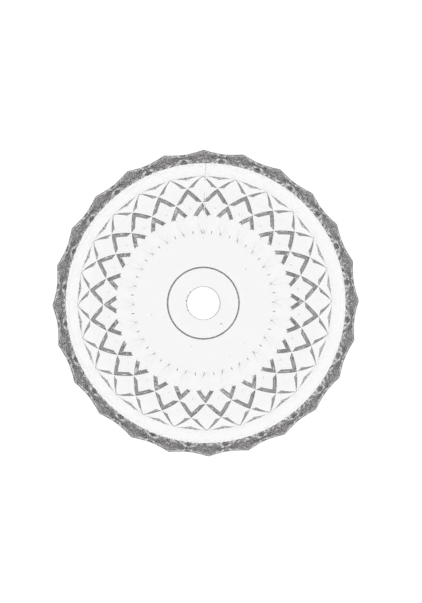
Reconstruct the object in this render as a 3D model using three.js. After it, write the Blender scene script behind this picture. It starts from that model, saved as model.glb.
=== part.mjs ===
// A clear pressed-glass dish, 100 mm across, with one drilled hole in its base, a wall pressed outside with
// rows of flat-topped diamonds, and 24 shallow flutes above them that scallop the rim. The real dish is one
// pressing. Here it is carried as ring-shaped zones that meet face to face, from the base up to the rim.
// Millimetres, +Z up, origin at the middle of the underside. A scallop's point lies on +X.
import * as THREE from "three";

// Driving dimensions, in millimetres and degrees.
const SCALLOPS = 24; // the scallops round the rim, and the diamonds round each row
const HEIGHT = 25; // from the underside to the flat top of the rim
const HOLE_RADIUS = 5.5; // the drilled hole for a stem or a threaded rod
const FLOOR_THICKNESS = 4.1; // between the underside and the flat floor inside
const RECESS_RADIUS = 11.75; // the shallow recess under the base, round the hole
const RECESS_DEPTH = 0.6;
const RECESS_STEP = 0.55; // how far the recess's sloped side runs outward
const FOOT_RING_RADIUS = 17.5; // where the flat base ends and the pressed pattern begins

// The wall is swept round one circle in section. Its centre lies this far out from the dish's axis.
const SWEEP_CENTRE_RADIUS = 15;
const INNER_SWEEP = 34; // from the sweep's centre to the smooth inside
const TABLE_SWEEP = 38.3; // to the diamonds' flat tops
const SWEEP_CENTRE_HEIGHT = FLOOR_THICKNESS + INNER_SWEEP;

// Levels are angles round the sweep's centre, 0 straight down.
const TOP_LEVEL = 49.5; // where the flutes end and the diamonds begin
const FIRST_STEP = 8.6; // from there down to the first row of groove crossings
const LEVEL_STEP = 9.5; // from one row of groove crossings down to the next
const LEVELS = 4; // rows of groove crossings below the top level
const PATTERN_DEPTH = 1.2; // how deep the grooves lie below the flat tops
const BEVEL_ANGLE = 35; // the slope of a groove's sides
const LOWEST_GROOVE_DEPTH = 0.25; // the grooves fade out towards the foot
const LOWEST_BEVEL_ANGLE = 8;

// The rim: the wall turns a little steeper up to it, and the flutes scallop its outside.
const TURN_LEVEL = 40; // where the inside begins to turn
const RIM_LEVEL = 57; // where the inside passes from the fluted band to the rim
const RIM_SHARE = 0.4; // how far up from the diamonds the outside does
const RIM_INNER_RADIUS = 45.6;
const CUSP_RADIUS = 50; // to a scallop's point
const SCALLOP_DEPTH = 1.1; // how far the middle of a scallop lies inside its points
const FLUTE_DEPTH = 1.3; // the foot of a flute, below the flat tops
const ARRIS_DEPTH = 0.3; // the edge between two flutes, below the flat tops

const ROUND_STEPS = 2 * SCALLOPS; // round the smooth inside of the wall
const SCALLOP_STEPS = 6; // across one scallop
const BASE_STEPS = 96; // round the hole, the recess and the foot

const GLASS = {
  color: 0xf1f2f4,
  roughness: 0.04,
  metalness: 0,
  transparent: true,
  opacity: 0.35,
};

const radians = THREE.MathUtils.degToRad;
const pitch = 360 / SCALLOPS;

// One closed body, gathered as points and triangles that face out.
class Body {
  constructor() {
    this.points = [];
    this.triangles = [];
  }

  point({ angle, radius, height }) {
    const turn = radians(angle);
    this.points.push(radius * Math.cos(turn), radius * Math.sin(turn), height);
    return { id: this.points.length / 3 - 1, angle };
  }

  ring(places) {
    return places.map((place) => this.point(place));
  }

  triangle(a, b, c) {
    this.triangles.push(a.id, b.id, c.id);
  }

  quad(a, b, c, d) {
    this.triangle(a, b, c);
    this.triangle(a, c, d);
  }

  // Joins two rings whose points go round anticlockwise, in any numbers. The faces look out of the wall when
  // the second ring lies above the first, and the other way when turned is true.
  join(first, second, turned = false) {
    const angleAt = (ring, i) => ring[i % ring.length].angle + (i < ring.length ? 0 : 360);
    let i = 0;
    let j = 0;
    while (i < first.length || j < second.length) {
      const a = first[i % first.length];
      const b = second[j % second.length];
      const alongFirst =
        j === second.length ||
        (i < first.length && angleAt(first, i + 1) <= angleAt(second, j + 1) + 1e-9);
      const next = alongFirst ? first[(i + 1) % first.length] : second[(j + 1) % second.length];
      if (turned) this.triangle(b, next, a);
      else this.triangle(a, next, b);
      if (alongFirst) i += 1;
      else j += 1;
    }
  }

  mesh(name) {
    const geometry = new THREE.BufferGeometry();
    geometry.setAttribute("position", new THREE.Float32BufferAttribute(this.points, 3));
    geometry.setIndex(this.triangles);
    geometry.computeVertexNormals();
    return namedMesh(name, geometry);
  }
}

function namedMesh(name, geometry) {
  const mesh = new THREE.Mesh(geometry, new THREE.MeshStandardMaterial(GLASS));
  mesh.name = name;
  return mesh;
}

// A place in the wall: an angle round the dish, a level and a distance from the sweep's centre.
function onWall(angle, level, sweep) {
  return {
    angle,
    radius: SWEEP_CENTRE_RADIUS + sweep * Math.sin(radians(level)),
    height: SWEEP_CENTRE_HEIGHT - sweep * Math.cos(radians(level)),
  };
}

function around(steps, place) {
  return Array.from({ length: steps }, (_, i) => place((360 / steps) * i));
}

// The level and the distance from the sweep's centre of a place on the rim's flat top.
function onRimTop(radius) {
  const out = radius - SWEEP_CENTRE_RADIUS;
  const down = SWEEP_CENTRE_HEIGHT - HEIGHT;
  return { level: THREE.MathUtils.radToDeg(Math.atan2(out, down)), sweep: Math.hypot(out, down) };
}

const insideTop = onRimTop(RIM_INNER_RADIUS);

function insideSweep(level) {
  const share = Math.max(0, (level - TURN_LEVEL) / (insideTop.level - TURN_LEVEL));
  return INNER_SWEEP + (insideTop.sweep - INNER_SWEEP) * share ** 2;
}

const insideRing = (level) => around(ROUND_STEPS, (angle) => onWall(angle, level, insideSweep(level)));

const latticeLevel = (k) => (k ? TOP_LEVEL - FIRST_STEP - LEVEL_STEP * (k - 1) : TOP_LEVEL);

// The groove crossings at one level lie half a diamond round from those at the next.
const crossingAngle = (k, j) => pitch * (j + (k % 2 ? 0.5 : 0));

const grooveDepth = (k) => (k < LEVELS ? PATTERN_DEPTH : LOWEST_GROOVE_DEPTH);
const bevelAngle = (k) => (k < LEVELS ? BEVEL_ANGLE : LOWEST_BEVEL_ANGLE);
const grooveSweep = (k) => TABLE_SWEEP - grooveDepth(k);

// The share of a diamond, from its middle to a corner, that its flat top takes up at one level.
function tableShare(k) {
  const halfWidth = radians(pitch / 2) * onWall(0, latticeLevel(k), TABLE_SWEEP).radius;
  const halfHeight = radians(LEVEL_STEP) * TABLE_SWEEP;
  const middleToEdge = (halfWidth * halfHeight) / Math.hypot(halfWidth, halfHeight);
  const bevelWidth = grooveDepth(k) / Math.tan(radians(bevelAngle(k)));
  return 1 - bevelWidth / middleToEdge;
}

// The level of the upper or lower corner of a flat top whose diamond is widest at level k.
const tableCorner = (k, way) => latticeLevel(k) + way * LEVEL_STEP * tableShare(k);

// The outer places at lattice level k: a crossing, then the two side corners of the next flat top.
function latticeRing(k) {
  const places = [];
  for (let j = 0; j < SCALLOPS; j += 1) {
    const crossing = crossingAngle(k, j);
    const reach = (pitch / 2) * tableShare(k);
    const middle = crossing + pitch / 2;
    places.push(onWall(crossing, latticeLevel(k), grooveSweep(k)));
    places.push(onWall(middle - reach, latticeLevel(k), TABLE_SWEEP));
    places.push(onWall(middle + reach, latticeLevel(k), TABLE_SWEEP));
  }
  return places;
}

// The share of a flute's full scoop at an angle: 0 at a scallop's point and 1 in its middle.
const scoop = (angle) => 1 - (2 * ((angle / pitch) % 1) - 1) ** 2;
const fluteDepth = (angle) => ARRIS_DEPTH + (FLUTE_DEPTH - ARRIS_DEPTH) * scoop(angle);

// The outside of the flutes, from their feet at share 0 to the rim's flat top at share 1.
function onFlute(angle, share) {
  const top = onRimTop(CUSP_RADIUS - SCALLOP_DEPTH * scoop(angle));
  const foot = TABLE_SWEEP - fluteDepth(angle);
  const level = TOP_LEVEL + share * (top.level - TOP_LEVEL);
  return onWall(angle, level, foot + (top.sweep - foot) * share ** 2);
}

const fluteRing = (share) => around(SCALLOPS * SCALLOP_STEPS, (angle) => onFlute(angle, share));

// Where the rounded end of a flute runs out into the flat top below it.
function fluteEnd(angle) {
  const width = fluteDepth(angle) / Math.tan(radians(BEVEL_ANGLE));
  return onWall(angle, TOP_LEVEL - THREE.MathUtils.radToDeg(width / TABLE_SWEEP), TABLE_SWEEP);
}

// One diamond and the halves of its neighbours, between level k above and level k + 1 below.
function diamondFaces(body, upper, lower, k) {
  for (let j = 0; j < SCALLOPS; j += 1) {
    const next = (j + 1) % SCALLOPS;
    const odd = k % 2; // crossings at an odd level lie after those of the same number below
    const left = upper[3 * j];
    const right = upper[3 * next];
    const tableLeft = upper[3 * j + 1];
    const tableRight = upper[3 * j + 2];
    const below = (j + odd) % SCALLOPS;
    const foot = lower[3 * below];
    const halfTurn = crossingAngle(k, j) + pitch / 2;

    // The lower half of the diamond that is widest at the upper level.
    const tip = body.point(onWall(halfTurn, tableCorner(k, -1), TABLE_SWEEP));
    body.triangle(tip, tableRight, tableLeft);
    body.quad(left, foot, tip, tableLeft);
    body.quad(foot, right, tableRight, tip);

    // The upper half of the diamond that is widest at the lower level and hangs from the crossing.
    const before = (below + SCALLOPS - 1) % SCALLOPS;
    const footLeft = lower[3 * before];
    const lowLeft = lower[3 * before + 1];
    const lowRight = lower[3 * before + 2];
    const peak = body.point(onWall(crossingAngle(k, j), tableCorner(k + 1, 1), TABLE_SWEEP));
    body.triangle(lowLeft, lowRight, peak);
    body.quad(footLeft, lowLeft, peak, left);
    body.quad(lowRight, foot, left, peak);
  }
}

// The half diamonds below the flutes' ends, and the upper halves of the first whole row, whose flat tops run
// up to the edges between the flutes.
function topRowFaces(body, feet, lower) {
  const tipLevel = latticeLevel(1) + LEVEL_STEP * (1 - tableShare(1));
  for (let j = 0; j < SCALLOPS; j += 1) {
    const first = SCALLOP_STEPS * j;
    const upper = [];
    for (let i = 0; i <= SCALLOP_STEPS; i += 1) upper.push(feet[(first + i) % feet.length]);
    const [left, right] = [upper[0], upper[SCALLOP_STEPS]];
    const ends = upper.slice(1, SCALLOP_STEPS).map((place) => body.point(fluteEnd(place.angle)));
    const edge = [left, ...ends, right];
    const foot = lower[3 * j];
    const tip = body.point(onWall(pitch * (j + 0.5), tipLevel, TABLE_SWEEP));
    for (let i = 0; i < SCALLOP_STEPS; i += 1) {
      if (i > 0) body.triangle(edge[i], edge[i + 1], upper[i]);
      if (i < SCALLOP_STEPS - 1) body.triangle(edge[i + 1], upper[i + 1], upper[i]);
      body.triangle(tip, edge[i + 1], edge[i]);
    }
    body.triangle(left, foot, tip);
    body.triangle(foot, right, tip);

    const before = (j + SCALLOPS - 1) % SCALLOPS;
    const footLeft = lower[3 * before];
    const lowLeft = lower[3 * before + 1];
    const lowRight = lower[3 * before + 2];
    body.triangle(lowLeft, lowRight, left);
    body.triangle(footLeft, lowLeft, left);
    body.triangle(lowRight, foot, left);
  }
}

// Closes a zone: across its top, down the smooth inside through the levels given, and back under it.
function closeZone(body, outerTop, outerBottom, insideLevels) {
  const inside = insideLevels.map((level) => body.ring(insideRing(level)));
  body.join(outerTop, inside[0]);
  for (let i = 1; i < inside.length; i += 1) body.join(inside[i - 1], inside[i]);
  body.join(outerBottom, inside[inside.length - 1], true);
}

// A row of the diamond wall, between lattice levels k and k + 1.
function diamondRow(name, k) {
  const body = new Body();
  const upper = body.ring(k ? latticeRing(k) : fluteRing(0));
  const lower = body.ring(latticeRing(k + 1));
  if (k) diamondFaces(body, upper, lower, k);
  else topRowFaces(body, upper, lower);
  const middle = (latticeLevel(k) + latticeLevel(k + 1)) / 2;
  closeZone(body, upper, lower, [latticeLevel(k), middle, latticeLevel(k + 1)]);
  return body.mesh(name);
}

// The fading flutes between the lowest crossings and the flat foot.
function lowerFlutes(name) {
  const body = new Body();
  const edgeLevel = THREE.MathUtils.radToDeg(Math.acos(SWEEP_CENTRE_HEIGHT / TABLE_SWEEP));
  const upper = body.ring(latticeRing(LEVELS));
  const edge = body.ring(around(2 * SCALLOPS, (angle) => onWall(angle, edgeLevel, TABLE_SWEEP)));
  const under = body.ring(around(BASE_STEPS, (angle) => baseEdge(angle, 0)));
  const over = body.ring(around(BASE_STEPS, (angle) => baseEdge(angle, FLOOR_THICKNESS)));
  body.join(edge, upper);
  body.join(under, edge);
  const insideLevels = [latticeLevel(LEVELS), latticeLevel(LEVELS) / 2];
  const inside = insideLevels.map((level) => body.ring(insideRing(level)));
  body.join(upper, inside[0]);
  body.join(inside[0], inside[1]);
  body.join(inside[1], over);
  body.join(under, over, true);
  return body.mesh(name);
}

const baseEdge = (angle, height) => ({ angle, radius: FOOT_RING_RADIUS, height });

function flutedBand(name) {
  const body = new Body();
  const lower = body.ring(fluteRing(0));
  const upper = body.ring(fluteRing(RIM_SHARE));
  body.join(lower, upper);
  closeZone(body, upper, lower, [RIM_LEVEL, TOP_LEVEL]);
  return body.mesh(name);
}

function scallopedRim(name) {
  const body = new Body();
  const lower = body.ring(fluteRing(RIM_SHARE));
  const upper = body.ring(fluteRing(1));
  body.join(lower, upper);
  closeZone(body, upper, lower, [insideTop.level, RIM_LEVEL]);
  return body.mesh(name);
}

// The flat middle of the base, turned in section round the axis.
function turned(name, outline) {
  const profile = [...outline, outline[0]].map(([radius, height]) => new THREE.Vector2(radius, height));
  const geometry = new THREE.LatheGeometry(profile, BASE_STEPS);
  geometry.rotateX(Math.PI / 2);
  return namedMesh(name, geometry);
}

const drilledBase = (name) =>
  turned(name, [
    [HOLE_RADIUS, RECESS_DEPTH],
    [RECESS_RADIUS, RECESS_DEPTH],
    [RECESS_RADIUS, FLOOR_THICKNESS],
    [HOLE_RADIUS, FLOOR_THICKNESS],
  ]);

const footRing = (name) =>
  turned(name, [
    [RECESS_RADIUS, RECESS_DEPTH],
    [RECESS_RADIUS + RECESS_STEP, 0],
    [FOOT_RING_RADIUS, 0],
    [FOOT_RING_RADIUS, FLOOR_THICKNESS],
    [RECESS_RADIUS, FLOOR_THICKNESS],
  ]);

const dish = new THREE.Group();
dish.add(drilledBase("drilled_base"));
dish.add(footRing("foot_ring"));
dish.add(lowerFlutes("lower_flutes"));
dish.add(diamondRow("diamond_row_1", 3));
dish.add(diamondRow("diamond_row_2", 2));
dish.add(diamondRow("diamond_row_3", 1));
dish.add(diamondRow("diamond_row_4", 0));
dish.add(flutedBand("fluted_band"));
dish.add(scallopedRim("scalloped_rim"));

export default dish;
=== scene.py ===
"""A clear pressed-glass dish on a lit table.

It has a wall of flat-topped diamonds, a scalloped rim and one drilled hole.
"""

import math

import bmesh
import bpy
import numpy as np
from mathutils import Matrix, Vector


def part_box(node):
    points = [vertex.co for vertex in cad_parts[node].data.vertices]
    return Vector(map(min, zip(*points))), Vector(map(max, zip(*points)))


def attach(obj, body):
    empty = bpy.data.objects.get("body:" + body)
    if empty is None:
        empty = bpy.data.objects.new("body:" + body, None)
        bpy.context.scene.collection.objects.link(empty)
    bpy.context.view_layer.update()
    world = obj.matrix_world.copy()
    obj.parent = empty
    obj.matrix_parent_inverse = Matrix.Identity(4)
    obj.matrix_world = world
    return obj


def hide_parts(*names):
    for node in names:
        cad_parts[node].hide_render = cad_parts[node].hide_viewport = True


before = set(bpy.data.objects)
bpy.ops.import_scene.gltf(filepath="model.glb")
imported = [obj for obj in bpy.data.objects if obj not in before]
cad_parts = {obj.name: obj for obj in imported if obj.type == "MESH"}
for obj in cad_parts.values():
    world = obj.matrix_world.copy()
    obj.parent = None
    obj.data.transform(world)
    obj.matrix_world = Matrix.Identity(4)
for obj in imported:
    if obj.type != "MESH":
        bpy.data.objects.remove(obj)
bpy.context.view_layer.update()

MM = 0.001

# Sizes that the frame gives, in millimetres.
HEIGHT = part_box("scalloped_rim")[1].z / MM
CUSP_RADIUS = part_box("scalloped_rim")[1].x / MM
FLOOR_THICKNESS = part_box("foot_ring")[1].z / MM
FOOT_RING_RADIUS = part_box("foot_ring")[1].x / MM
RECESS_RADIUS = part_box("drilled_base")[1].x / MM
RECESS_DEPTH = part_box("drilled_base")[0].z / MM

# The rest of the design, in millimetres and degrees. A level is an angle up the wall, round the centre of the
# circle that its section follows, and a sweep is a distance from that centre.
SCALLOPS = 24
HOLE_RADIUS = 5.5
RECESS_STEP = 0.55
TURN_LEVEL = 40.0
RIM_INNER_RADIUS = 45.6
SCALLOP_DEPTH = 1.1
SWEEP_CENTRE_RADIUS = 15.0
INNER_SWEEP = 34.0
TABLE_SWEEP = 38.3
PATTERN_DEPTH = 1.2
BEVEL_ANGLE = 35.0  # how steeply the sides of the grooves rise
LOWEST_GROOVE_DEPTH = 0.35
LOWEST_BEVEL_ANGLE = 31.0
EASED_BEVEL_ANGLE = 24.0  # the angle that they ease off to
EASED_ABOVE = 0.7  # how many degrees above the fourth crossings they have eased off
EASING = 0.8  # over how many degrees of the wall they do so
FLUTE_DEPTH = 1.3
ARRIS_DEPTH = 0.3
FLUTE_END_ANGLE = 29.5
RIM_ROUNDING = 0.35
HOLE_BEVEL = 0.14  # at the hole's lower edge
EDGE_ROUNDING = 0.05  # how far the rounding of the recess's edges and of the hole's lower edge cuts in
ROUNDING_RUN = 0.12  # how far along the recess's faces that rounding reaches
FLAT_RINGS = (12.0, 8.0)  # where the flat floor, and within it the recess, has rings of points
TOP_LEVEL = 49.5
FIRST_STEP = 8.6
LEVEL_STEP = 9.5
LEVELS = 4

SWEEP_CENTRE_HEIGHT = FLOOR_THICKNESS + INNER_SWEEP
PITCH = 360.0 / SCALLOPS
EDGE_LEVEL = math.degrees(math.acos(SWEEP_CENTRE_HEIGHT / TABLE_SWEEP))
# The levels at which the grooves cross, from the top down.
LATTICE = [TOP_LEVEL] + [TOP_LEVEL - FIRST_STEP - LEVEL_STEP * k for k in range(LEVELS)]

# How finely the glass is meshed and how softly its edges are rounded, in millimetres.
CORNER_SHARES = [0.0, 0.015, 0.04, 0.1, 0.18, 0.26, 0.34, 0.42]
EDGE_SHARES = CORNER_SHARES + [0.5] + [1 - share for share in CORNER_SHARES[::-1]]
SIDE_ROWS = [0.0, 0.03, 0.08, 0.2, 0.5, 0.8, 0.92, 0.97, 1.0]
TABLE_ROWS = [0.02, 0.06, 0.2, 0.5, 0.75, 1.0]
FLUTE_ROWS = 16
INSIDE_ROWS = 48
RIM_TURNS = [22.5, 45, 67.5, 90]
RIM_TOP_SHARES = [0.15, 0.35, 0.55, 0.75, 0.9, 0.97]
FIRST_INSIDE_DROP = 0.2  # in degrees of level, below the rim's inner edge
BUBBLE_COLUMNS = 17
BUBBLE_ROWS = 9
SHARP_FROM = 24.0  # degrees between faces at which an edge is drawn sharp
GROOVE_SOFTNESS = 0.02
TABLE_SOFTNESS = 0.05
LEAST_DEPTH = 0.001  # keeps a groove from having no depth at all where it fades out
BOTTOM_WIDTH = 0.1  # how far from a groove's bottom the correction for the softened top has gone
LARGEST_BEVEL = 0.9  # as a share of the way to a cell's centre
CUSP_SOFTNESS = 0.04  # as a share of half a scallop
WELD_DISTANCE = 2e-6  # metres, like the next
SLIVER = 1e-7

# The skin's fine relief, in millimetres, and where the hairline seam runs, in degrees.
WAVE_HEIGHT = 0.045
WAVE_SCALE = 0.16  # waves in a millimetre
RIPPLE_HEIGHT = 0.006
RIPPLE_SCALE = 0.7  # ripples in a millimetre
STREAK_HEIGHT = 0.05
STREAKS_ROUND = 8.0  # streaks in a radian, so each is several millimetres long
STREAKS_ACROSS = 1.8  # streaks in a millimetre
SEAM_HEIGHT = 0.075
SEAM_WIDTH = 0.2
SEAM_ANGLE = 88.8
GRIND_HEIGHT = 0.16
GRAINS_ROUND = 14.0  # grains in a radian
GRAINS_UP = 9.0  # grains in a millimetre

# The glass itself.
GLASS_TINT = (0.953, 0.95, 0.958, 1)
GLASS_IOR = 1.51
BODY_TINT = (0.8, 0.795, 0.803, 1)
GLASS_DENSITY = 32.0  # with the body tint's shortfall, how much light a metre of the glass takes
RIM_ROUGHNESS = 0.14
GROUND_ROUGHNESS = 0.55
GROUND_TINT = (0.62, 0.6, 0.6, 1)
GROUND_TRANSMISSION = 0.5

# The chips along the hole's upper edge, in millimetres, and the side they lie on, in degrees.
EDGE_WEAR = 0.16
CHIP_SIZE = 0.5
CHIPPED_SIDE = 170.0
CHIP_WAVES = (11, 17)  # two waves round the hole whose product gives uneven chips
EDGE_CURVE = 0.3  # how far in and down, as a share of its size, the worn edge's middle lies

# The small bubbles caught in the glass: distances to the right of the axis, behind it and up, and the radius.
BUBBLES = [(5.9, -7.0, 2.2, 0.34), (14.5, 11.3, 2.0, 0.24), (-17.5, -3.6, 2.6, 0.2), (-4.3, -14.4, 2.0, 0.2),
           (8.5, -18.0, 2.4, 0.18), (13.7, -13.7, 2.4, 0.18)]

CLEAR, GROUND, RIM_TOP = 0, 1, 2  # the dish's material slots


def wall_point(angle, level, sweep):
    """A place in the wall: angles round the dish and round the sweep's centre, and the distance from it."""
    angle, level = np.radians(angle), np.radians(level)
    radius = SWEEP_CENTRE_RADIUS + sweep * np.sin(level)
    height = SWEEP_CENTRE_HEIGHT - sweep * np.cos(level)
    return np.stack([radius * np.cos(angle), radius * np.sin(angle), height + 0 * angle], -1)


def ring_point(angle, radius, height):
    angle = np.radians(angle)
    return np.stack([radius * np.cos(angle), radius * np.sin(angle), height + 0 * angle], -1)


class Shell:
    """Gathers grids of points whose shared edges are welded at the end."""

    def __init__(self):
        self.points = []
        self.faces = []
        self.slots = []

    def grid(self, points, slot=CLEAR):
        """Rows of points. Seen from outside, the columns run to the right when the rows run up."""
        rows, columns = points.shape[:2]
        start = sum(len(p) for p in self.points)
        self.points.append(points.reshape(-1, 3))
        index = start + np.arange(rows * columns).reshape(rows, columns)
        for i in range(rows - 1):
            for j in range(columns - 1):
                self.faces.append((index[i, j], index[i, j + 1], index[i + 1, j + 1], index[i + 1, j]))
                self.slots.append(slot)

    def build(self, name):
        mesh = bpy.data.meshes.new(name)
        points = np.concatenate(self.points) * MM
        mesh.from_pydata(points.tolist(), [], [tuple(int(i) for i in face) for face in self.faces])
        mesh.polygons.foreach_set("material_index", self.slots)
        work = bmesh.new()
        work.from_mesh(mesh)
        bmesh.ops.remove_doubles(work, verts=work.verts, dist=WELD_DISTANCE)
        bmesh.ops.dissolve_degenerate(work, edges=work.edges, dist=SLIVER)
        work.to_mesh(mesh)
        work.free()
        piece = bpy.data.objects.new(name, mesh)
        bpy.context.scene.collection.objects.link(piece)
        return piece


def groove_depth(level):
    """How deep the grooves lie below the flat tops: full on the wall, fading out at the rim and the foot."""
    levels = [EDGE_LEVEL, LATTICE[4], LATTICE[3], LATTICE[1], LATTICE[0]]
    depths = [0.0, LOWEST_GROOVE_DEPTH, PATTERN_DEPTH, PATTERN_DEPTH, ARRIS_DEPTH]
    return np.interp(level, levels, depths)


def side_angle(level):
    """How steeply a groove's side rises from its bottom: less at the foot of the wall."""
    eased = LATTICE[3] + EASED_ABOVE
    steepness = [LOWEST_BEVEL_ANGLE, EASED_BEVEL_ANGLE, BEVEL_ANGLE]
    return np.interp(level, [LATTICE[4], eased, eased + EASING], steepness)


def scoop(angle):
    """The share of a flute's full scoop: 0 at a scallop's point, slightly rounded, and 1 in its middle."""
    from_cusp = 1 - 2 * np.abs((angle / PITCH) % 1 - 0.5)
    rounded = np.hypot(from_cusp, CUSP_SOFTNESS) - CUSP_SOFTNESS
    return 1 - (1 - rounded) ** 2


def flute_depth(angle):
    """How deep the foot of a flute lies below the flat tops."""
    return ARRIS_DEPTH + (FLUTE_DEPTH - ARRIS_DEPTH) * scoop(angle)


def on_rim_top(radius):
    """The level of a place on the rim's flat top, and its distance from the sweep's centre."""
    out, down = radius - SWEEP_CENTRE_RADIUS, SWEEP_CENTRE_HEIGHT - HEIGHT
    return np.degrees(np.arctan2(out, down)), np.hypot(out, down)


def inside_point(angles, level):
    """The smooth inside of the bowl: round as far as the turn level, then steeper up to the rim."""
    top_level, top_sweep = on_rim_top(RIM_INNER_RADIUS)
    share = max(0.0, (level - TURN_LEVEL) / (top_level - TURN_LEVEL))
    sweep = INNER_SWEEP + (top_sweep - INNER_SWEEP) * share ** 2
    return wall_point(angles, np.full_like(angles, level), sweep)


def flute_point(angles, share, short=0.0):
    """The outside of the flutes, from their feet at share 0 to the rim at share 1, or a bit short of it."""
    top_level, top_sweep = on_rim_top(CUSP_RADIUS - SCALLOP_DEPTH * scoop(angles))
    foot = TABLE_SWEEP - flute_depth(angles)
    full = 1 - np.degrees(short / top_sweep) / (top_level - TOP_LEVEL)
    level = TOP_LEVEL + share * full * (top_level - TOP_LEVEL)
    return wall_point(angles, level, foot + (top_sweep - foot) * (share * full) ** 2)


def bevel_sweep(depth, inset, slope):
    """From the bottom of a groove up its side to the flat top, with both edges a little rounded."""
    side = np.hypot(inset * slope, GROOVE_SOFTNESS) - GROOVE_SOFTNESS
    top = depth + LEAST_DEPTH
    raised = 0.5 * (side + top - np.hypot(side - top, TABLE_SOFTNESS))
    sunk = 0.5 * (top - np.hypot(top, TABLE_SOFTNESS))
    return TABLE_SWEEP - depth + raised - sunk * np.clip(1 - inset / BOTTOM_WIDTH, 0, 1)


def pressed_cell(shell, centre, corners, top_edge=False):
    """One cell of the pattern. centre and corners are (angle, level); the corners run round its outline.

    top_edge says that the first side is the foot of a flute instead of a groove.
    """
    centre = np.array(centre)
    corners = np.array(corners)
    scale = np.radians(1.0) * np.array([wall_radius(centre[1]), TABLE_SWEEP])
    spans = [edge_distance(centre * scale, a * scale, b * scale) for a, b in pairs(corners)]
    reach = sum(spans) / len(spans)
    shares = np.array(EDGE_SHARES)
    for i, (a, b) in enumerate(pairs(corners)):
        along = a + shares[:, None] * (b - a)
        if top_edge and i == 0:
            depth = flute_depth(along[:, 0])
            slope = np.tan(np.radians(np.full_like(depth, FLUTE_END_ANGLE)))
        else:
            depth = groove_depth(along[:, 1])
            slope = np.tan(np.radians(side_angle(along[:, 1])))
        crease = np.minimum(depth / slope, LARGEST_BEVEL * reach)
        rows = [share * crease for share in SIDE_ROWS]
        rows += [crease + share * (reach - crease) for share in TABLE_ROWS]
        insets = np.array(rows)
        places = along[None] + (insets / reach)[..., None] * (centre - along[None])
        sweep = bevel_sweep(depth[None], insets, slope)
        shell.grid(wall_point(places[..., 0], places[..., 1], sweep))


def wall_radius(level):
    return SWEEP_CENTRE_RADIUS + TABLE_SWEEP * math.sin(math.radians(level))


def pairs(corners):
    return [(corners[i], corners[(i + 1) % len(corners)]) for i in range(len(corners))]


def edge_distance(point, a, b):
    along = (b - a) / np.linalg.norm(b - a)
    across = point - a
    return abs(across[0] * along[1] - across[1] * along[0])


def add_pattern(shell):
    """Top half diamonds, three rows of diamonds, a row of fading ones and the triangles at the foot."""
    half = PITCH / 2
    drop = FIRST_STEP * inner_share()
    for j in range(SCALLOPS):
        at = PITCH * j
        middle = at + half
        corners = [(middle + half, LATTICE[0]), (middle - half, LATTICE[0]), (middle, LATTICE[1])]
        pressed_cell(shell, (middle, LATTICE[0] - drop), corners, top_edge=True)
        for k in range(1, LEVELS):
            turn = at + (0 if k % 2 else half)
            pressed_cell(shell, (turn, LATTICE[k]), diamond(turn, LATTICE[k - 1], LATTICE[k], LATTICE[k + 1]))
        pressed_cell(shell, (middle, LATTICE[4]), diamond(middle, LATTICE[3], LATTICE[4], EDGE_LEVEL))
        foot = [(at, LATTICE[4]), (at - half, EDGE_LEVEL), (at + half, EDGE_LEVEL)]
        pressed_cell(shell, (at, (LATTICE[4] + 2 * EDGE_LEVEL) / 3), foot)


def diamond(turn, top, level, bottom):
    half = PITCH / 2
    return [(turn, top), (turn - half, level), (turn, bottom), (turn + half, level)]


def inner_share():
    """How far down its triangle the middle of a top half diamond lies, as a share of a level's step."""
    half_width = math.radians(PITCH / 2) * wall_radius(LATTICE[0])
    side = math.hypot(half_width, math.radians(FIRST_STEP) * TABLE_SWEEP)
    return half_width / (half_width + side)


def ring_angles():
    """The angles round the dish at which every ring has its points: closest together at the corners."""
    shares = [j + share for j in range(SCALLOPS) for share in EDGE_SHARES[:-1]] + [SCALLOPS]
    return PITCH * np.array(shares)


def add_band_and_rim(shell):
    """The fluted outside of the rim, its flat top and the smooth inside of the bowl."""
    angles = ring_angles()
    outside = [flute_point(angles, share, RIM_ROUNDING) for share in np.linspace(0, 1, FLUTE_ROWS)]
    below = outside[-1]
    shell.grid(np.array(outside))
    top = [below]
    outer_edge = flute_point(angles, 1)
    inner_edge = ring_point(angles, RIM_INNER_RADIUS, HEIGHT)
    inward = (inner_edge - outer_edge) / np.linalg.norm(inner_edge - outer_edge, axis=-1, keepdims=True)
    for turn in np.radians(RIM_TURNS):
        blend_up, blend_in = math.sin(turn), 1 - math.cos(turn)
        top.append(below + blend_up * (outer_edge - below) + blend_in * RIM_ROUNDING * inward)
    start = top[-1]
    start[:, 2] = HEIGHT
    for share in RIM_TOP_SHARES:
        top.append(start + share * (inner_edge - start))
    shell.grid(np.array(top), RIM_TOP)
    levels = np.linspace(on_rim_top(RIM_INNER_RADIUS)[0] - FIRST_INSIDE_DROP, 0, INSIDE_ROWS)
    inside = [top[-1]] + [inside_point(angles, level) for level in levels]
    shell.grid(np.array(inside))


def chipped_edge(angles):
    """How far the hole's upper edge is worn back at each angle: a hair, with small chips on one side."""
    turn = np.radians(angles)
    rough = np.abs(np.sin(CHIP_WAVES[0] * turn) * np.sin(CHIP_WAVES[1] * turn + 1))
    on_side = np.clip(np.cos(turn - math.radians(CHIPPED_SIDE)), 0, 1) ** 2
    return EDGE_WEAR + CHIP_SIZE * rough * on_side


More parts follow.
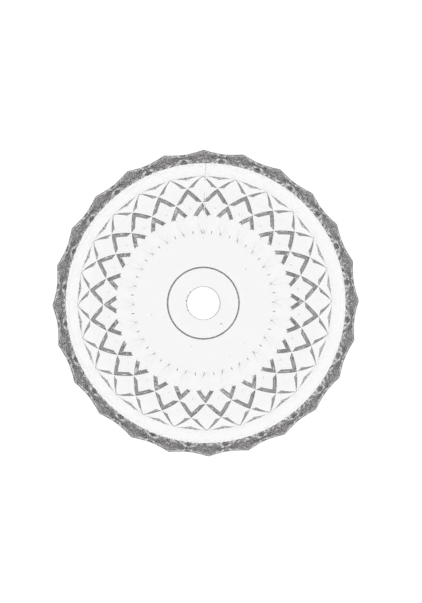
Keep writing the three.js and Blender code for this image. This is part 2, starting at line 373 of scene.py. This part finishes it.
def add_base(shell):
    """The flat floor inside, the drilled hole, the recess under the base and the ring it stands on."""
    angles = ring_angles()
    wear = chipped_edge(angles)
    small, wide = EDGE_ROUNDING, HOLE_BEVEL
    step = RECESS_RADIUS + RECESS_STEP
    edge = wall_point(np.zeros(1), np.full(1, EDGE_LEVEL), TABLE_SWEEP)[0]
    floor = [
        (SWEEP_CENTRE_RADIUS, FLOOR_THICKNESS),
        (FLAT_RINGS[0], FLOOR_THICKNESS),
        (FLAT_RINGS[1], FLOOR_THICKNESS),
        (HOLE_RADIUS + wear, FLOOR_THICKNESS)]
    hole = [
        (HOLE_RADIUS + wear, FLOOR_THICKNESS),
        (HOLE_RADIUS + EDGE_CURVE * wear, FLOOR_THICKNESS - EDGE_CURVE * wear),
        (HOLE_RADIUS, FLOOR_THICKNESS - wear),
        (HOLE_RADIUS, RECESS_DEPTH + wide),
        (HOLE_RADIUS + small, RECESS_DEPTH + small),
        (HOLE_RADIUS + wide, RECESS_DEPTH)]
    under = [
        (HOLE_RADIUS + wide, RECESS_DEPTH),
        (FLAT_RINGS[1], RECESS_DEPTH),
        (RECESS_RADIUS - ROUNDING_RUN, RECESS_DEPTH),
        (RECESS_RADIUS, RECESS_DEPTH - small),
        (RECESS_RADIUS + ROUNDING_RUN / 2, RECESS_DEPTH - ROUNDING_RUN),
        (step - ROUNDING_RUN / 2, ROUNDING_RUN),
        (step, small),
        (step + ROUNDING_RUN, 0.0),
        (FOOT_RING_RADIUS, 0.0),
        (edge[0], edge[2])]
    for outline, slot in ((floor, CLEAR), (hole, GROUND), (under, CLEAR)):
        shell.grid(np.array([ring_point(angles, radius, height) for radius, height in outline]), slot)


def add_bubble(shell, x, y, z, size):
    """A small ball of no glass, so its skin faces inwards."""
    turn = np.radians(np.linspace(0, 360, BUBBLE_COLUMNS))[None]
    tilt = np.radians(np.linspace(90, -90, BUBBLE_ROWS))[:, None]
    ball = [np.cos(tilt) * np.cos(turn), np.cos(tilt) * np.sin(turn), np.sin(tilt) + 0 * turn]
    shell.grid(np.stack(ball, -1) * size + np.array([x, y, z]))


def make_dish():
    """The whole dish, bubbles and all, as one mesh."""
    shell = Shell()
    for x, y, z, size in BUBBLES:
        add_bubble(shell, x, y, z, size)
    add_pattern(shell)
    add_band_and_rim(shell)
    add_base(shell)
    dish = shell.build("glass_dish")
    mesh = dish.data
    mesh.shade_smooth()
    mesh.set_sharp_from_angle(angle=math.radians(SHARP_FROM))
    return dish


class Nodes:
    """Short names for building a node tree."""

    def __init__(self, tree):
        self.tree = tree

    def add(self, kind, **settings):
        node = self.tree.nodes.new("ShaderNode" + kind)
        for name, value in settings.items():
            setattr(node, name, value)
        return node

    def link(self, source, target):
        self.tree.links.new(source, target)

    def math(self, operation, first, second=None, clamp=False):
        node = self.add("Math", operation=operation, use_clamp=clamp)
        for socket, value in zip(node.inputs, (first, second)):
            if isinstance(value, (int, float)):
                socket.default_value = value
            elif value is not None:
                self.link(value, socket)
        return node.outputs[0]

    def place(self):
        """The place's x, y and z on the object, in millimetres."""
        split = self.add("SeparateXYZ")
        self.link(self.add("TexCoord").outputs["Object"], split.inputs[0])
        return [self.math("MULTIPLY", split.outputs[i], 1 / MM) for i in range(3)]

    def polar(self, x, y):
        """The place's distance from the axis in millimetres and its angle in radians."""
        squares = self.math("ADD", self.math("MULTIPLY", x, x), self.math("MULTIPLY", y, y))
        return self.math("SQRT", squares), self.math("ARCTAN2", y, x)

    def noise(self, x, y, z, scale, detail=2.0, roughness=0.5):
        place = self.add("CombineXYZ")
        for socket, value in zip(place.inputs, (x, y, z)):
            if isinstance(value, (int, float)):
                socket.default_value = value
            else:
                self.link(value, socket)
        noise = self.add("TexNoise")
        noise.inputs["Scale"].default_value = scale
        noise.inputs["Detail"].default_value = detail
        noise.inputs["Roughness"].default_value = roughness
        self.link(place.outputs[0], noise.inputs["Vector"])
        return noise.outputs["Fac"]


def pressed_surface(nodes):
    """The height of the glass's skin in millimetres: chill waves, fine ripples and one hairline seam."""
    x, y, z = nodes.place()
    waves = nodes.math("MULTIPLY", nodes.noise(x, y, z, WAVE_SCALE, 1.0), WAVE_HEIGHT)
    ripples = nodes.math("MULTIPLY", nodes.noise(x, y, z, RIPPLE_SCALE, 2.0), RIPPLE_HEIGHT)
    seam_angle = math.radians(SEAM_ANGLE)
    from_x = nodes.math("MULTIPLY", x, math.sin(seam_angle))
    from_y = nodes.math("MULTIPLY", y, math.cos(seam_angle))
    across = nodes.math("ABSOLUTE", nodes.math("SUBTRACT", from_x, from_y))
    near = nodes.math("SUBTRACT", 1.0, nodes.math("DIVIDE", across, SEAM_WIDTH), clamp=True)
    on_side = nodes.math("GREATER_THAN", y, 0.0)
    seam = nodes.math("MULTIPLY", nodes.math("MULTIPLY", near, on_side), SEAM_HEIGHT)
    return nodes.math("ADD", nodes.math("ADD", waves, ripples), seam)


def rim_streaks(nodes):
    """The height of the rim's flat top in millimetres: short fine lines that run round it."""
    radius, angle = nodes.polar(*nodes.place()[:2])
    along = nodes.math("MULTIPLY", angle, STREAKS_ROUND)
    outwards = nodes.math("MULTIPLY", radius, STREAKS_ACROSS)
    return nodes.math("MULTIPLY", nodes.noise(along, outwards, 0.0, 1.0, 1.0), STREAK_HEIGHT)


def ground_grain(nodes):
    """The height of the hole's wall in millimetres: a grain drawn out round the hole."""
    x, y, z = nodes.place()
    radius, angle = nodes.polar(x, y)
    along = nodes.math("MULTIPLY", angle, GRAINS_ROUND)
    up = nodes.math("MULTIPLY", z, GRAINS_UP)
    return nodes.math("MULTIPLY", nodes.noise(along, up, radius, 1.0, 4.0), GRIND_HEIGHT)


def glass_material(name, roughness, relief):
    """Glass with a skin whose height relief gives, and a body that takes a little of the light."""
    material = bpy.data.materials.new(name)
    material.use_nodes = True
    nodes = Nodes(material.node_tree)
    shader = material.node_tree.nodes["Principled BSDF"]
    shader.inputs["Base Color"].default_value = GLASS_TINT
    shader.inputs["Roughness"].default_value = roughness
    shader.inputs["IOR"].default_value = GLASS_IOR
    shader.inputs["Transmission Weight"].default_value = 1.0
    body = nodes.add("VolumeAbsorption")
    body.inputs["Color"].default_value = BODY_TINT
    body.inputs["Density"].default_value = GLASS_DENSITY
    nodes.link(body.outputs[0], material.node_tree.nodes["Material Output"].inputs["Volume"])
    bump = nodes.add("Bump")
    bump.inputs["Distance"].default_value = MM
    bump.inputs["Strength"].default_value = 1.0
    nodes.link(relief(nodes), bump.inputs["Height"])
    nodes.link(bump.outputs["Normal"], shader.inputs["Normal"])
    return material


def clear_glass():
    return glass_material("clear_glass", 0.0, pressed_surface)


def rim_glass():
    """The rim's flat top: polished a little less finely than the rest."""
    return glass_material("rim_glass", RIM_ROUGHNESS, rim_streaks)


def ground_glass():
    """The drilled hole's wall: matt and greyer than the rest."""
    material = glass_material("ground_glass", GROUND_ROUGHNESS, ground_grain)
    shader = material.node_tree.nodes["Principled BSDF"]
    shader.inputs["Base Color"].default_value = GROUND_TINT
    shader.inputs["Transmission Weight"].default_value = GROUND_TRANSMISSION
    return material


TABLE_SIZE = 6.0
TABLE_GAP = 0.0002  # how far the table lies under the dish, in metres
TABLE_GREY = 0.3
TABLE_LIGHT = 0.98
TABLE_ROUGHNESS = 0.9


def make_table():
    """A pale table that is lit from inside, like a light box."""
    bpy.ops.mesh.primitive_plane_add(size=TABLE_SIZE, location=(0, 0, -TABLE_GAP))
    table = bpy.context.object
    table.name = "lit_table"
    material = bpy.data.materials.new("lit_table")
    material.use_nodes = True
    shader = material.node_tree.nodes["Principled BSDF"]
    shader.inputs["Base Color"].default_value = (TABLE_GREY, TABLE_GREY, TABLE_GREY, 1)
    shader.inputs["Roughness"].default_value = TABLE_ROUGHNESS
    shader.inputs["Specular IOR Level"].default_value = 0.0
    shader.inputs["Emission Color"].default_value = (1, 1, 1, 1)
    shader.inputs["Emission Strength"].default_value = TABLE_LIGHT
    table.data.materials.append(material)


HORIZON_LIGHT = (0.7, 0.69, 0.69, 1)
ROOM_LIGHT = (0.32, 0.31, 0.305, 1)
HORIZON_TOP = 0.22  # the height in the sky, from 0 to 1, where the horizon's glow has faded out


def make_world():
    """Soft light from all round: brighter along the horizon than above it."""
    world = bpy.data.worlds.new("studio")
    world.use_nodes = True
    nodes = Nodes(world.node_tree)
    split = nodes.add("SeparateXYZ")
    ramp = nodes.add("ValToRGB")
    horizon, room = ramp.color_ramp.elements
    horizon.position = 0.0
    horizon.color = HORIZON_LIGHT
    room.position = HORIZON_TOP
    room.color = ROOM_LIGHT
    nodes.link(nodes.add("TexCoord").outputs["Generated"], split.inputs[0])
    nodes.link(split.outputs["Z"], ramp.inputs["Fac"])
    nodes.link(ramp.outputs["Color"], world.node_tree.nodes["Background"].inputs["Color"])
    bpy.context.scene.world = world


# The camera looks almost straight down from a little to one side. Metres from the rim's middle, and degrees.
CAMERA_ABOVE_RIM = 0.7
CAMERA_SIDE = -0.028
VIEW_LENGTH = 0.19617  # what the frame's long side takes in at the rim
VIEW_ASIDE = (0.0016, 0.0005)
CAMERA_ROLL = 0.925
CAMERA_REACH = 20


def make_camera():
    data = bpy.data.cameras.new("camera")
    data.lens = data.sensor_width * CAMERA_ABOVE_RIM / VIEW_LENGTH
    camera = bpy.data.objects.new("camera", data)
    rim_height = HEIGHT * MM
    aim = Vector((VIEW_ASIDE[0], VIEW_ASIDE[1], rim_height))
    camera.location = Vector((CAMERA_SIDE, 0, rim_height + CAMERA_ABOVE_RIM))
    back = (camera.location - aim).normalized()
    up = Vector((math.sin(math.radians(CAMERA_ROLL)), math.cos(math.radians(CAMERA_ROLL)), 0))
    right = up.cross(back).normalized()
    axes = Matrix((right, back.cross(right), back)).transposed()
    camera.rotation_mode = "QUATERNION"
    camera.rotation_quaternion = axes.to_quaternion()
    data.clip_end = CAMERA_REACH
    bpy.context.scene.collection.objects.link(camera)
    bpy.context.scene.camera = camera


dish = make_dish()
dish.data.materials.append(clear_glass())
dish.data.materials.append(ground_glass())
dish.data.materials.append(rim_glass())
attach(dish, "root")
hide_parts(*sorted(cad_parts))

make_table()
make_world()
make_camera()

BOUNCES = 12  # enough for light to find its way along the rim's glass

scene = bpy.context.scene
scene.view_settings.view_transform = "Standard"
scene.cycles.max_bounces = BOUNCES
scene.cycles.glossy_bounces = BOUNCES
scene.cycles.transmission_bounces = BOUNCES
scene.cycles.transparent_max_bounces = 16
